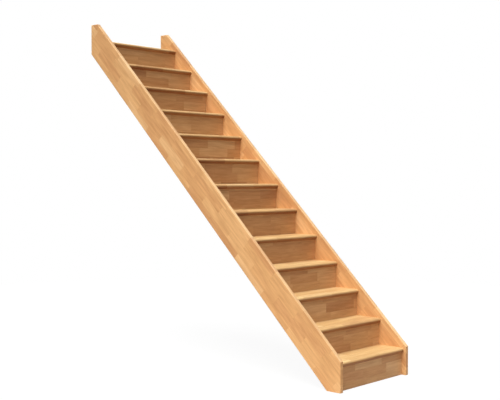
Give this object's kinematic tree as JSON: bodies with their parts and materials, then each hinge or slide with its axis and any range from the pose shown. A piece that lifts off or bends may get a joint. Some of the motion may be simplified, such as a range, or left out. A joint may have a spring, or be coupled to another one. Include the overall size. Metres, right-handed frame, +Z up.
{
  "type": "straight closed-string staircase",
  "caption": "Straight wooden flight: round-nosed treads and closed risers housed between two raking side boards.",
  "frame": {"origin": "middle of the top tread's back edge, halfway through its thickness, where it bears on the landing", "axes": "+X to the right of a person going up, +Y the way they climb, +Z up"},
  "size_m": [0.814, 2.606, 2.7026],
  "materials": {
    "string_beech": "satin clear lacquer",
    "tread_beech": "satin clear lacquer",
    "riser_beech": "satin clear lacquer"
  },
  "bodies": {
    "root": {"stringer_left": "string_beech", "stringer_right": "string_beech", "tread_01": "tread_beech", "tread_02": "tread_beech", "tread_03": "tread_beech", "tread_04": "tread_beech", "tread_05": "tread_beech", "tread_06": "tread_beech", "tread_07": "tread_beech", "tread_08": "tread_beech", "tread_09": "tread_beech", "tread_10": "tread_beech", "tread_11": "tread_beech", "tread_12": "tread_beech", "tread_13": "tread_beech", "riser_01": "riser_beech", "riser_02": "riser_beech", "riser_03": "riser_beech", "riser_04": "riser_beech", "riser_05": "riser_beech", "riser_06": "riser_beech", "riser_07": "riser_beech", "riser_08": "riser_beech", "riser_09": "riser_beech", "riser_10": "riser_beech", "riser_11": "riser_beech", "riser_12": "riser_beech", "riser_13": "riser_beech"}
  },
  "joints": []
}
